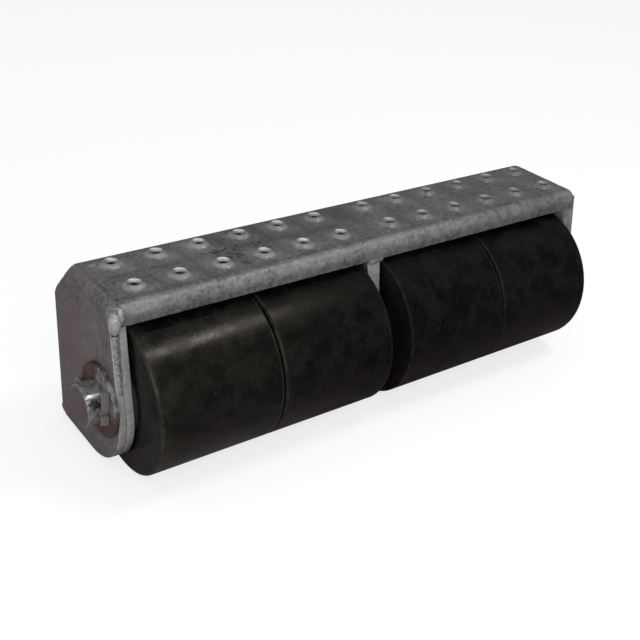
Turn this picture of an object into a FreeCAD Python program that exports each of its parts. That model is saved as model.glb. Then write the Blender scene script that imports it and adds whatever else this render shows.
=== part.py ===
import FreeCAD, Part
import math
import os

# A dock buffer: four rubber rollers on one axle, in a folded galvanised housing whose top is an
# anti-slip step. Millimetres. X runs along the axle, Y points at the wall, Z is up. The origin is the
# centre of the bolt pattern, on the outer face of the back wall.

# folded housing
sheet_thickness = 6.0
housing_depth = 103.5
lip_height = 15.5
step_flat_depth = 74.5
bend_radius = 10.0
weld_ledge = 8.0

# end plates and rib
plate_thickness = 6.0
rib_thickness = 12.0
plate_height = 139.0
plate_nose_reach = 13.5
plate_front_setback = 3.0
plate_nose_radius = 49.0
plate_heel_radius = 8.0
plate_edge_chamfer = 0.8
bend_relief = 0.5

# rollers
roller_diameter = 124.0
roller_length = 99.5
roller_rim_chamfer = 1.5
bush_diameter = 46.0
bush_seat_clearance = 0.02
pair_gap = 1.2
rib_gap = 3.3
left_end_gap = 2.0
right_end_gap = 8.0

# axle
axle_diameter = 32.0
axle_behind_lip = 19.3
axle_below_top = 81.0
axle_stick_out = 18.0
axle_chamfer = 1.5
plate_bore_clearance = 0.1
running_clearance = 0.05

# washers and split pins
washer_diameter = 56.0
washer_thickness = 4.0
washer_bore_clearance = 0.4
thrust_washer_diameter = 56.0
thrust_washer_play = 0.2
pin_diameter = 6.0
pin_hole_clearance = 0.3
pin_washer_clearance = 0.4
pin_bend_radius = 5.0
pin_upper_leg = 16.0
pin_lower_leg = 6.0
pin_lower_leg_turn = 10.0
pin_eye_radius = 5.0
pin_eye_wire = 3.0
pin_stand_off = 1.0

# raised holes of the step
hole_columns = 6
hole_row_depths = (23.8, 59.8)
left_hole_margin = 28.5
right_hole_margin = 23.5
middle_hole_gap = 48.5
hole_radius = 4.0
burr_foot_radius = 9.4
burr_shoulder_radius = 6.6
burr_rim_radius = 5.4
burr_height = 3.2
burr_shoulder_height = 1.9
burr_mouth_height = 1.8

# wall bolts
bolt_hole_diameter = 18.0
bolt_spacing_x = 320.0
bolt_spacing_z = 65.0
bolt_centre_below_top = 82.5

# welds
end_bead_crown_reach = 0.62
end_bead_crown_height = 0.68
front_bead_radius = 3.0
front_bead_tip_radius = 1.8
front_bead_length = 42.0
front_bead_start = 4.65
front_bead_inset = 3.3
front_bead_depth = 1.0
low_drop_radius = 6.3
low_drop_inset = 3.9
low_drop_depth = 1.5
low_drop_above_lip_edge = 2.0
high_drop_radius = 7.25
high_drop_inset = 4.1
high_drop_depth = 4.5
high_drop_below_top = 7.0
rib_bead_radius = 4.0
rib_bead_overrun = 1.2
rib_bead_depth = 2.2
rib_bead_below_lip_edge = 0.5

stack_thickness = 2 * plate_thickness
pair_reach = rib_thickness / 2 + rib_gap + 2 * roller_length + pair_gap
left_reach = pair_reach + left_end_gap + stack_thickness
right_reach = pair_reach + right_end_gap + stack_thickness
hole_span = left_reach + right_reach - left_hole_margin - right_hole_margin - middle_hole_gap
hole_pitch = hole_span / (2 * hole_columns - 2)
top = bolt_centre_below_top
bottom = top - plate_height
front = -housing_depth
lip_bottom = top - lip_height
chamfer_start = front + step_flat_depth
chamfer_size = housing_depth - step_flat_depth
axle_y = front + axle_behind_lip
axle_z = top - axle_below_top
pin_beyond_plate = washer_thickness + pin_washer_clearance + pin_diameter / 2


def unit(vector):
    """The direction of a (y, z) pair."""
    size = math.hypot(*vector)
    return vector[0] / size, vector[1] / size


def corner_arc(before, corner, after, radius):
    """Start, middle and end of the arc that rounds one corner of a profile."""
    toward_before = unit((before[0] - corner[0], before[1] - corner[1]))
    toward_after = unit((after[0] - corner[0], after[1] - corner[1]))
    cosine = toward_before[0] * toward_after[0] + toward_before[1] * toward_after[1]
    half_angle = math.acos(cosine) / 2
    reach = radius / math.tan(half_angle)
    bisector = unit((toward_before[0] + toward_after[0], toward_before[1] + toward_after[1]))
    depth = radius / math.sin(half_angle) - radius
    start = (corner[0] + reach * toward_before[0], corner[1] + reach * toward_before[1])
    middle = (corner[0] + depth * bisector[0], corner[1] + depth * bisector[1])
    end = (corner[0] + reach * toward_after[0], corner[1] + reach * toward_after[1])
    return start, middle, end


def profile_edges(corners, x, closed=False):
    """Straight and round edges through (y, z, radius) corners, in the plane at x."""
    count = len(corners)
    stops = []
    for index, (y, z, radius) in enumerate(corners):
        is_end = not closed and index in (0, count - 1)
        if is_end or radius == 0:
            stops.append(((y, z),))
            continue
        before = corners[index - 1][:2]
        after = corners[(index + 1) % count][:2]
        stops.append(corner_arc(before, (y, z), after, radius))
    edges = []
    for index, stop in enumerate(stops):
        places = [FreeCAD.Vector(x, y, z) for y, z in stop]
        if len(places) == 3:
            edges.append(Part.Arc(*places).toShape())
        if index + 1 < count or closed:
            y, z = stops[(index + 1) % count][0]
            edges.append(Part.LineSegment(places[-1], FreeCAD.Vector(x, y, z)).toShape())
    return edges


def offset_corners(corners, distance):
    """The same open profile, moved to its right-hand side by a distance."""
    lines = []
    for (y1, z1, _), (y2, z2, _) in zip(corners, corners[1:]):
        along = unit((y2 - y1, z2 - z1))
        normal = (along[1], -along[0])
        lines.append((y1 + distance * normal[0], z1 + distance * normal[1], along))
    first = (lines[0][0], lines[0][1], 0)
    moved = [first]
    for (y1, z1, a), (y2, z2, b), corner in zip(lines, lines[1:], corners[1:]):
        cross = a[0] * b[1] - a[1] * b[0]
        step = ((y2 - y1) * b[1] - (z2 - z1) * b[0]) / cross
        moved.append((y1 + step * a[0], z1 + step * a[1], corner[2] - distance))
    y, z, along = lines[-1]
    run = math.hypot(corners[-1][0] - corners[-2][0], corners[-1][1] - corners[-2][1])
    moved.append((y + run * along[0], z + run * along[1], 0))
    return moved


def prism(corners, x_start, x_end):
    """A closed (y, z, radius) outline carried from x_start to x_end."""
    face = Part.Face(Part.Wire(profile_edges(corners, x_start, closed=True)))
    return face.extrude(FreeCAD.Vector(x_end - x_start, 0, 0))


def rod(radius, x_start, x_end, y=axle_y, z=axle_z):
    """A cylinder along X."""
    return Part.makeCylinder(radius, x_end - x_start, FreeCAD.Vector(x_start, y, z), FreeCAD.Vector(1, 0, 0))


def ring(outer_radius, inner_radius, x_start, x_end):
    """A washer or tube on the axle."""
    return rod(outer_radius, x_start, x_end).cut(rod(inner_radius, x_start, x_end))


def mirrored(shape):
    """The same shape at the other end of the buffer."""
    return shape.mirror(FreeCAD.Vector(0, 0, 0), FreeCAD.Vector(1, 0, 0))


# The housing's outer line: lip, step, chamfer and back wall.
outer_line = [
    (front, lip_bottom, 0),
    (front, top, bend_radius),
    (chamfer_start, top, bend_radius),
    (0, top - chamfer_size, bend_radius),
    (0, bottom, 0),
]
inner_line = offset_corners(outer_line, sheet_thickness)


def hole_places():
    """X and Y of each raised hole: two rows, each of two groups."""
    for depth in hole_row_depths:
        for column in range(hole_columns):
            yield left_hole_margin + column * hole_pitch - left_reach, front + depth
            yield right_reach - right_hole_margin - column * hole_pitch, front + depth


def raised_rim():
    """The burr that the punch leaves round a hole, as a ring on the step."""
    points = [
        (hole_radius, 0),
        (burr_foot_radius, 0),
        (burr_shoulder_radius, burr_shoulder_height),
        (burr_rim_radius, burr_height),
        (hole_radius, burr_mouth_height),
        (hole_radius, 0),
    ]
    wire = Part.makePolygon([FreeCAD.Vector(radius, 0, height) for radius, height in points])
    return Part.Face(wire).revolve(FreeCAD.Vector(0, 0, 0), FreeCAD.Vector(0, 0, 1), 360)


def folded_housing():
    """One sheet folded to lip, step, chamfer and back wall, with its punched and drilled holes."""
    x = weld_ledge - left_reach
    length = left_reach + right_reach - 2 * weld_ledge
    forward = profile_edges(outer_line, x)
    backward = profile_edges(inner_line[::-1], x)
    ends = [FreeCAD.Vector(x, y, z) for y, z, _ in (outer_line[-1], inner_line[-1], inner_line[0], outer_line[0])]
    tail = Part.LineSegment(ends[0], ends[1]).toShape()
    head = Part.LineSegment(ends[2], ends[3]).toShape()
    face = Part.Face(Part.Wire(forward + [tail] + backward + [head]))
    sheet = face.extrude(FreeCAD.Vector(length, 0, 0))
    up = FreeCAD.Vector(0, 0, 1)
    below = top - sheet_thickness
    cutters = []
    rims = []
    rim = raised_rim()
    for place_x, place_y in hole_places():
        foot = FreeCAD.Vector(place_x, place_y, below)
        cutters.append(Part.makeCylinder(hole_radius, sheet_thickness, foot, up))
        rims.append(rim.translated(FreeCAD.Vector(place_x, place_y, top)))
    for side_x in (-0.5, 0.5):
        for side_z in (-0.5, 0.5):
            start = FreeCAD.Vector(side_x * bolt_spacing_x, -sheet_thickness, side_z * bolt_spacing_z)
            cutters.append(Part.makeCylinder(bolt_hole_diameter / 2, sheet_thickness, start, FreeCAD.Vector(0, 1, 0)))
    ends = Part.makeBox(length, housing_depth, burr_height, FreeCAD.Vector(x, front, top))
    return sheet.cut(cutters).fuse([rim.common(ends) for rim in rims]).removeSplitter()


def plate_outline(notched):
    """Outline of an end plate or the rib, inside the folded sheet.

    A notched one steps round the lip. The nose leans forward under the lip and turns into the
    bottom edge with one large arc.
    """
    under_sheet = [(y, z, radius + bend_relief) for y, z, radius in inner_line[2:4]]
    nose = [
        (-sheet_thickness, bottom, plate_heel_radius),
        (front - plate_nose_reach, bottom, plate_nose_radius),
    ]
    if notched:
        head = [
            (front + plate_front_setback, lip_bottom, 0),
            (front + sheet_thickness, lip_bottom, 0),
            (front + sheet_thickness, top - sheet_thickness, inner_line[1][2] + bend_relief),
        ]
    else:
        lean = (plate_front_setback + plate_nose_reach) / (lip_bottom - bottom)
        rise = lip_height - sheet_thickness
        head = [(front + plate_front_setback + lean * rise, top - sheet_thickness, 0)]
    return under_sheet + nose + head


def bored_plate(notched, x_start, x_end):
    """A plate with its outer edges eased and a bore for the axle."""
    plate = prism(plate_outline(notched), x_start, x_end)
    edges = [edge for edge in plate.Edges if is_nose_edge(edge)]
    plate = plate.makeChamfer(plate_edge_chamfer, edges)
    return plate.cut(rod(axle_diameter / 2 + plate_bore_clearance, x_start, x_end))


def is_nose_edge(edge):
    """True for the front and bottom rims of a plate, which stand clear of the sheet."""
    box = edge.BoundBox
    lies_flat = box.XLength < 0.01
    reaches_below_lip = box.ZMin < lip_bottom - 1
    clear_of_wall = box.YMax < -sheet_thickness - 0.01
    return lies_flat and reaches_below_lip and clear_of_wall


def end_bead(reach, path_corners):
    """The fillet weld along the sheet's left end: a convex section carried along the sheet's inner line.

    The plates' outer face stands at a reach from the middle of the buffer.
    """
    x_root = weld_ledge - reach
    x_toe = bend_relief - reach
    start_y, start_z, _ = path_corners[0]
    path = Part.Wire(profile_edges(path_corners, x_root))
    start = FreeCAD.Vector(0, start_y, start_z)
    crown_x = x_root - end_bead_crown_reach * (x_root - x_toe)
    crown_rise = end_bead_crown_height * sheet_thickness
    outward = FreeCAD.Vector(0, *bead_side(path_corners))
    root = start + FreeCAD.Vector(x_root, 0, 0)
    toe = start + FreeCAD.Vector(x_toe, 0, 0)
    crown = start + FreeCAD.Vector(crown_x, 0, 0) + outward * crown_rise
    shoulder = root + outward * (sheet_thickness - bend_relief)
    section = Part.Wire([
        Part.LineSegment(root, toe).toShape(),
        Part.Arc(toe, crown, shoulder).toShape(),
        Part.LineSegment(shoulder, root).toShape(),
    ])
    return path.makePipeShell([section], True, True)


def bead_side(path_corners):
    """The direction from the start of a bead's path to the sheet's outer face."""
    (y1, z1, _), (y2, z2, _) = path_corners[:2]
    along = unit((y2 - y1, z2 - z1))
    return -along[1], along[0]


def front_edge_at(z):
    """Y of the plates' leaning front edge at a height."""
    lean = (plate_front_setback + plate_nose_reach) / (lip_bottom - bottom)
    return front + plate_front_setback - lean * (lip_bottom - z)


def corner_weld(solids_around):
    """The drops of weld at the front corner and the bead down the plates' front edge."""
    x = front_bead_inset - left_reach
    upper_z = lip_bottom - front_bead_start
    lower_z = upper_z - front_bead_length
    upper = FreeCAD.Vector(x, front_edge_at(upper_z) + front_bead_depth, upper_z)
    lower = FreeCAD.Vector(x, front_edge_at(lower_z) + front_bead_depth, lower_z)
    run = lower.sub(upper)
    bead = Part.makeCone(front_bead_radius, front_bead_tip_radius, run.Length, upper, run)
    low_middle = FreeCAD.Vector(
        low_drop_inset - left_reach, front + low_drop_depth, lip_bottom + low_drop_above_lip_edge)
    high_middle = FreeCAD.Vector(
        high_drop_inset - left_reach, front + high_drop_depth, top - high_drop_below_top)
    low_drop = Part.makeSphere(low_drop_radius, low_middle)
    high_drop = Part.makeSphere(high_drop_radius, high_middle)
    lump = bead.fuse([low_drop, high_drop])
    for solid in solids_around:
        lump = lump.cut(solid)
    return lump


def largest_solid(shape):
    """The main solid of a cut, without its slivers."""
    return max(shape.Solids, key=lambda solid: solid.Volume)


def left_weld(solids_around):
    """All the weld at the left end: a bead over the top, and the drops where it stops."""
    start_y, start_z, _ = inner_line[1]
    path_corners = [(start_y, start_z, 0)] + inner_line[2:]
    return largest_solid(end_bead(left_reach, path_corners).fuse(corner_weld(solids_around)))


def right_weld(plate):
    """The weld at the right end, made as at the left: one bead from the lip over the top."""
    return largest_solid(end_bead(right_reach, inner_line).cut(plate))


def rib_weld(solids_around):
    """The bead that joins the lip's lower edge to the rib."""
    reach = rib_thickness / 2 + rib_bead_overrun
    bead = rod(rib_bead_radius, -reach, reach, front + rib_bead_depth, lip_bottom - rib_bead_below_lip_edge)
    for solid in solids_around:
        bead = bead.cut(solid)
    return largest_solid(bead)


def bent_leg(pin_x, direction, length):
    """One half-round leg of a split pin, turned from -Y to a direction in the XZ plane."""
    radius = pin_diameter / 2
    start = FreeCAD.Vector(-pin_x, axle_y - axle_diameter / 2 + pin_hole_clearance, axle_z)
    hinge = direction.cross(FreeCAD.Vector(0, 1, 0))
    section = Part.Wire([
        Part.LineSegment(start - hinge * radius, start + hinge * radius).toShape(),
        Part.Arc(start + hinge * radius, start + direction * radius, start - hinge * radius).toShape(),
    ])
    face = Part.Face(section)
    bend = face.revolve(start + direction * pin_bend_radius, hinge, 90)
    turned = face.copy()
    turned.rotate(start + direction * pin_bend_radius, hinge, 90)
    return bend.fuse(turned.extrude(direction * length))


def split_pin(reach):
    """A split pin through the left end of the axle: eye behind, both legs bent at the front."""
    pin_x = reach + pin_beyond_plate
    radius = pin_diameter / 2
    nose = axle_y - axle_diameter / 2
    heel = axle_y + axle_diameter / 2 + pin_stand_off + pin_eye_wire / 2
    shank = Part.makeCylinder(radius, heel - nose, FreeCAD.Vector(-pin_x, nose, axle_z), FreeCAD.Vector(0, 1, 0))
    eye_y = heel + pin_eye_radius
    half_wire = pin_eye_wire / 2
    left, right = -pin_x - half_wire, -pin_x + half_wire
    eye = rod(pin_eye_radius + half_wire, left, right, eye_y)
    eye = eye.cut(rod(pin_eye_radius - half_wire, left, right, eye_y))
    turn = math.radians(pin_lower_leg_turn)
    upper_leg = bent_leg(pin_x, FreeCAD.Vector(0, 0, 1), pin_upper_leg)
    lower_way = FreeCAD.Vector(-math.sin(turn), 0, -math.cos(turn))
    lower_leg = bent_leg(pin_x, lower_way, pin_lower_leg)
    return shank.fuse(eye).fuse(upper_leg).fuse(lower_leg).removeSplitter()


def axle():
    """A round bar with chamfered ends and a cross hole for each split pin."""
    bar = rod(axle_diameter / 2, -left_reach - axle_stick_out, right_reach + axle_stick_out)
    rims = [edge for edge in bar.Edges if edge.BoundBox.XLength < 0.01]
    bar = bar.makeChamfer(axle_chamfer, rims)
    radius = pin_diameter / 2 + pin_hole_clearance
    for x in (-left_reach - pin_beyond_plate, right_reach + pin_beyond_plate):
        start = FreeCAD.Vector(x, axle_y - axle_diameter, axle_z)
        bar = bar.cut(Part.makeCylinder(radius, 2 * axle_diameter, start, FreeCAD.Vector(0, 1, 0)))
    return bar


def roller_starts():
    """Left face of each roller: two pairs, one each side of the rib."""
    pair = 2 * roller_length + pair_gap
    left_pair = -rib_thickness / 2 - rib_gap - pair
    right_pair = rib_thickness / 2 + rib_gap
    for start in (left_pair, right_pair):
        yield start
        yield start + roller_length + pair_gap


def rubber_roller(x):
    """A thick rubber cylinder with eased rims."""
    bore_radius = bush_diameter / 2 + bush_seat_clearance
    tread = rod(roller_diameter / 2, x, x + roller_length)
    rims = [edge for edge in tread.Edges if edge.BoundBox.XLength < 0.01]
    return tread.makeChamfer(roller_rim_chamfer, rims).cut(rod(bore_radius, x, x + roller_length))


def bush(x):
    """The steel sleeve inside a roller, which turns on the axle."""
    return ring(bush_diameter / 2, axle_diameter / 2 + running_clearance, x, x + roller_length)


def thrust_washers():
    """A loose ring on the axle in each gap beside a roller."""
    starts = list(roller_starts())
    gaps = [
        (stack_thickness - left_reach, starts[0]),
        (starts[0] + roller_length, starts[1]),
        (starts[1] + roller_length, -rib_thickness / 2),
        (rib_thickness / 2, starts[2]),
        (starts[2] + roller_length, starts[3]),
        (starts[3] + roller_length, right_reach - stack_thickness),
    ]
    bore_radius = axle_diameter / 2 + washer_bore_clearance
    for left, right in gaps:
        yield ring(thrust_washer_diameter / 2, bore_radius, left + thrust_washer_play, right - thrust_washer_play)


def save(name, shape):
    """Writes one piece."""
    shape.exportStep("parts/" + name + ".step")


def end_pieces(reach):
    """The plates, washer and split pin of a left end whose outer face is at a reach from the middle."""
    bore_radius = axle_diameter / 2 + washer_bore_clearance
    return {
        "outer_end_plate": bored_plate(False, -reach, plate_thickness - reach),
        "inner_end_plate": bored_plate(True, plate_thickness - reach, stack_thickness - reach),
        "axle_washer": ring(washer_diameter / 2, bore_radius, -reach - washer_thickness, -reach),
        "split_pin": split_pin(reach),
    }


def main():
    os.makedirs("parts", exist_ok=True)
    housing = folded_housing()
    rib = bored_plate(True, -rib_thickness / 2, rib_thickness / 2)
    left = end_pieces(left_reach)
    left["end_weld"] = left_weld([housing, left["outer_end_plate"], left["inner_end_plate"]])
    right = end_pieces(right_reach)
    right["end_weld"] = right_weld(right["outer_end_plate"])
    save("folded_housing", housing)
    save("centre_rib", rib)
    save("rib_weld", rib_weld([housing, rib]))
    save("axle", axle())
    for name, shape in left.items():
        save("left_" + name, shape)
    for name, shape in right.items():
        save("right_" + name, mirrored(shape))
    for number, x in enumerate(roller_starts(), start=1):
        save("rubber_roller_" + str(number), rubber_roller(x))
        save("roller_bush_" + str(number), bush(x))
    for number, shape in enumerate(thrust_washers(), start=1):
        save("thrust_washer_" + str(number), shape)


main()
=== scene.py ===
import bmesh
import bpy
import math
import numpy as np
from mathutils import Matrix, Vector


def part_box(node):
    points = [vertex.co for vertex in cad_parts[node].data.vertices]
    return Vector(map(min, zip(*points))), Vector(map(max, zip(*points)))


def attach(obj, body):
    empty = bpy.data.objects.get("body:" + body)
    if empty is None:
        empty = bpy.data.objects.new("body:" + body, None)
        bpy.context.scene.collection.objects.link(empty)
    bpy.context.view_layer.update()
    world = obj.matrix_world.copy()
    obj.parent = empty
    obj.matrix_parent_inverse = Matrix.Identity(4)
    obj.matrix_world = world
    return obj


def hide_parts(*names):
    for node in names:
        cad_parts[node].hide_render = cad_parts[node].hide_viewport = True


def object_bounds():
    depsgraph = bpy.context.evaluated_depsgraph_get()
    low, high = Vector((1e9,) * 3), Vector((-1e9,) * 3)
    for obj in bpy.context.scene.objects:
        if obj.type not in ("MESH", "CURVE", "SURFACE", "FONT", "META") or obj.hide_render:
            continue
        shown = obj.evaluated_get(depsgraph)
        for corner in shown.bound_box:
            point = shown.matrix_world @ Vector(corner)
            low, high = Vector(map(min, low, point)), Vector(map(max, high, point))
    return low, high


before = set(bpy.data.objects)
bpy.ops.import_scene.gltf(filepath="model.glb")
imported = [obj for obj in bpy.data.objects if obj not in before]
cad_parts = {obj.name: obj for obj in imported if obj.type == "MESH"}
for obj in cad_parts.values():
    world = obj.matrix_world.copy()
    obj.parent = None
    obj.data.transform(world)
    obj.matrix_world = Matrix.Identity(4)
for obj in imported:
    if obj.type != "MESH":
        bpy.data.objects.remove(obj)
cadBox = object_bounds()
print("frame loaded:", len(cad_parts), "nodes")

mm = 0.001


def gridFaces(rows, columns, closeRows=False, closeColumns=False):
    # quads between neighbouring rows and columns of a grid that is numbered row by row
    row = np.arange(rows if closeRows else rows - 1)[:, None]
    column = np.arange(columns if closeColumns else columns - 1)[None, :]
    nextRow = (row + 1) % rows
    nextColumn = (column + 1) % columns
    corners = [row * columns + column, row * columns + nextColumn,
               nextRow * columns + nextColumn, nextRow * columns + column]
    return np.stack(corners, axis=-1).reshape(-1, 4)


def joined(parts):
    # several (points, faces) pairs as one pair
    points, faces, start = [], [], 0
    for partPoints, partFaces in parts:
        points.append(np.reshape(partPoints, (-1, 3)))
        faces.append(np.asarray(partFaces) + start)
        start += len(points[-1])
    return np.vstack(points), np.vstack(faces)


def mirroredX(part, shift=0.0):
    # the same surface at the other end of the buffer, which stands further out by the shift
    points, faces = part
    return points * [-1, 1, 1] + [shift, 0, 0], np.asarray(faces)[:, ::-1]


def unit(vectors):
    # each vector divided by its length
    return vectors / np.linalg.norm(vectors, axis=-1, keepdims=True)


def rise(value, start, end):
    # 0 before the start and 1 beyond the end, in a straight line between them
    return np.clip((value - start) / (end - start), 0, 1)


def lumps(points, size, seed, waves=24):
    # soft bumps from about -1 to 1: the sum of many cosine waves of about one wavelength in seeded directions
    random = np.random.default_rng(seed)
    directions = random.normal(size=(np.shape(points)[-1], waves))
    directions *= random.uniform(0.7, 1.5, waves) / np.linalg.norm(directions, axis=0)
    phases = random.uniform(0, 2 * np.pi, waves)
    waveSum = np.cos(points @ directions * (2 * np.pi / size) + phases).sum(axis=-1)
    return np.clip(waveSum / math.sqrt(waves), -1.5, 1.5) / 1.5


def roundedStops(corners, arcSteps):
    # for each (y, z, radius) corner of a closed line, the points of the arc that touches both of its sides
    corners = np.array(corners, float)
    stops = []
    for index, (y, z, radius) in enumerate(corners):
        corner = np.array([y, z])
        if radius == 0:
            stops.append(corner[None])
            continue
        before = unit(corners[index - 1][:2] - corner)
        after = unit(corners[(index + 1) % len(corners)][:2] - corner)
        halfAngle = math.acos(before @ after) / 2
        centre = corner + unit(before + after) * radius / math.sin(halfAngle)
        arm = corner + before * radius / math.tan(halfAngle) - centre
        side = np.array([-arm[1], arm[0]])
        turn = math.copysign(math.pi - 2 * halfAngle, side @ (corner - centre))
        angle = np.linspace(0, turn, arcSteps + 1)[:, None]
        stops.append(centre + np.cos(angle) * arm + np.sin(angle) * side)
    return stops


def distances(line):
    # how far along the line each of its points lies
    return np.concatenate([[0], np.cumsum(np.linalg.norm(np.diff(line, axis=0), axis=1))])


def pointsAlong(line, runs, stations):
    # the points of a plane line at the stations, which are distances along it
    return np.column_stack([np.interp(stations, runs, line[:, k]) for k in (0, 1)])


def refined(points, step):
    # a closed line that keeps its own points and gets more, so that none are further apart than the step
    line = np.vstack([points, points[:1]])
    runs = distances(line)
    stations = np.unique(np.round(np.concatenate([runs[:-1], np.arange(0, runs[-1], step)]), 9))
    gaps = np.diff(np.append(stations, runs[-1]))
    return pointsAlong(line, runs, stations[gaps > step * 0.02])


def smoothCurve(points, steps):
    # a Catmull-Rom curve through the points, with the given number of steps between two of them
    points = np.asarray(points, float)
    padded = np.vstack([2 * points[0] - points[1], points, 2 * points[-1] - points[-2]])
    t = np.linspace(0, 1, steps, endpoint=False)[None, :, None]
    a, b, c, d = (padded[k:len(padded) - 3 + k, None, :] for k in range(4))
    curve = 0.5 * (2 * b + (c - a) * t + (2 * a - 5 * b + 4 * c - d) * t**2 + (3 * b - a - 3 * c + d) * t**3)
    return np.vstack([curve.reshape(-1, points.shape[1]), points[-1:]])


def cappedTube(rings):
    # rings of points as one surface; each end is drawn in to the middle of its ring
    first, last = (np.broadcast_to(ring.mean(axis=0), ring.shape)[None] for ring in (rings[0], rings[-1]))
    rings = np.concatenate([first, rings, last])
    return rings.reshape(-1, 3), gridFaces(len(rings), rings.shape[1], closeColumns=True)


def tube(path, radius, sides):
    # a circle carried along a path, square to it at every point: path + radius x (cos across + sin upward)
    along = unit(np.gradient(path, axis=0))
    helper = [1.0, 0.0, 0.0] if abs(along[0][0]) < 0.8 else [0.0, 1.0, 0.0]
    across = unit(np.cross(along, helper))
    upward = np.cross(along, across)
    angle = np.linspace(0, 2 * np.pi, sides, endpoint=False)[None, :, None]
    radius = np.broadcast_to(radius, len(path))[:, None, None]
    circle = np.cos(angle) * across[:, None] + np.sin(angle) * upward[:, None]
    return cappedTube(path[:, None] + radius * circle)


def turned(profile, centre, sides, closed=True):
    # an (x, radius) profile turned about an axis along X through the (y, z) centre
    x, radius = np.asarray(profile, float).T
    angle = np.linspace(0, 2 * np.pi, sides, endpoint=False)
    y = centre[0] + radius[:, None] * np.cos(angle)
    z = centre[1] + radius[:, None] * np.sin(angle)
    points = np.stack([np.broadcast_to(x[:, None], y.shape), y, z], axis=-1)
    return points.reshape(-1, 3), gridFaces(len(x), sides, closeRows=closed, closeColumns=True)


def addObject(name, data):
    # an object for a mesh, a lamp or a camera, put into the scene
    made = bpy.data.objects.new(name, data)
    bpy.context.scene.collection.objects.link(made)
    return made


def makePiece(name, part, material, body, replaced=(), sharpAngle=35, tint=None):
    # Puts a surface into a mesh, closes its seams and poles, and hangs it on its body. The tint is one
    # number per point that the material reads: up to 1 on bright rims and painted highlights, down to -1 in
    # painted shade and on the rollers' end faces.
    points, faces = part
    used, faces = np.unique(np.asarray(faces), return_inverse=True)
    faces = faces.reshape(-1, 4)
    mesh = bpy.data.meshes.new(name)
    mesh.from_pydata(np.asarray(points, float)[used].tolist(), [], faces.tolist())
    if tint is not None:
        mesh.attributes.new("tint", "FLOAT", "POINT").data.foreach_set("value", np.ravel(tint)[used])
    piece = addObject(name, mesh)
    cleaner = bmesh.new()
    cleaner.from_mesh(mesh)
    bmesh.ops.remove_doubles(cleaner, verts=cleaner.verts, dist=0.01 * mm)
    bmesh.ops.recalc_face_normals(cleaner, faces=cleaner.faces)
    cleaner.to_mesh(mesh)
    cleaner.free()
    mesh.shade_smooth()
    mesh.set_sharp_from_angle(angle=math.radians(sharpAngle))
    mesh.materials.append(material)
    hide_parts(*replaced)
    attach(piece, body)
    return piece


def addNode(tree, kind, inputs=None, **settings):
    # one shader node with its settings; each input is linked to a socket or set to a value
    made = tree.nodes.new("ShaderNode" + kind)
    for key, value in settings.items():
        setattr(made, key, value)
    for key, value in (inputs or {}).items():
        if isinstance(value, bpy.types.NodeSocket):
            tree.links.new(value, made.inputs[key])
        else:
            made.inputs[key].default_value = value
    return made


def calculate(tree, operation, first, second=0.0, third=0.0):
    # one step of arithmetic on sockets or numbers
    return addNode(tree, "Math", {0: first, 1: second, 2: third}, operation=operation).outputs[0]


def product(tree, first, *others):
    # all the values multiplied together
    for other in others:
        first = calculate(tree, "MULTIPLY", first, other)
    return first


def sloped(tree, value, slope, start):
    # start + slope x value
    return calculate(tree, "MULTIPLY_ADD", value, slope, start)


def vectorStep(tree, operation, first, second=(0, 0, 0)):
    # one step of arithmetic on vectors; a length and a dot product come out as a number
    made = addNode(tree, "VectorMath", {0: first, 1: second}, operation=operation)
    return made.outputs["Value" if operation in ("LENGTH", "DOT_PRODUCT") else "Vector"]


def ramp(tree, value, ends, results=(0.0, 1.0), soft=False):
    # the value carried over from between the two ends to between the two results, and held beyond them
    return addNode(tree, "MapRange", {
        "Value": value, "From Min": ends[0], "From Max": ends[1], "To Min": results[0], "To Max": results[1]},
        interpolation_type="SMOOTHSTEP" if soft else "LINEAR").outputs[0]


def mixColour(tree, share, first, second):
    # the first colour with its share of the second laid over it
    return addNode(tree, "Mix", {0: share, 6: first, 7: second}, data_type="RGBA").outputs[2]


def newGroup(name, inputs, output):
    # a shader node group that puts out one number; an input without a value of its own is a vector
    group = bpy.data.node_groups.new(name, "ShaderNodeTree")
    for socketName, value in inputs.items():
        kind = "NodeSocketVector" if value is None else "NodeSocketFloat"
        socket = group.interface.new_socket(socketName, in_out="INPUT", socket_type=kind)
        if value is not None:
            socket.default_value = value
    group.interface.new_socket(output, in_out="OUTPUT", socket_type="NodeSocketFloat")
    return group, group.nodes.new("NodeGroupInput").outputs, group.nodes.new("NodeGroupOutput").inputs


def useGroup(tree, group, place, **values):
    # what a group puts out at a place, with these values in its other sockets
    inputs = {key.capitalize(): value for key, value in values.items()}
    return addNode(tree, "Group", {"Place": place, **inputs}, node_tree=group).outputs[0]


def perMetre(tree, size):
    # how many times a size in millimetres fits into a metre
    return calculate(tree, "DIVIDE", 1000.0, size)


def buildBlotches():
    # clouds of about one size in millimetres; low and high set how hard their edges are
    group, inside, outside = newGroup("blotches", {
        "Place": None, "Size": 20.0, "Detail": 3.0, "Low": 0.4, "High": 0.6}, "Mask")
    noise = addNode(group, "TexNoise", {"Vector": inside["Place"], "Scale": perMetre(group, inside["Size"]),
                                        "Detail": inside["Detail"], "Roughness": 0.6})
    mask = ramp(group, noise.outputs[0], (inside["Low"], inside["High"]), soft=True)
    group.links.new(mask, outside["Mask"])
    return group


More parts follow.
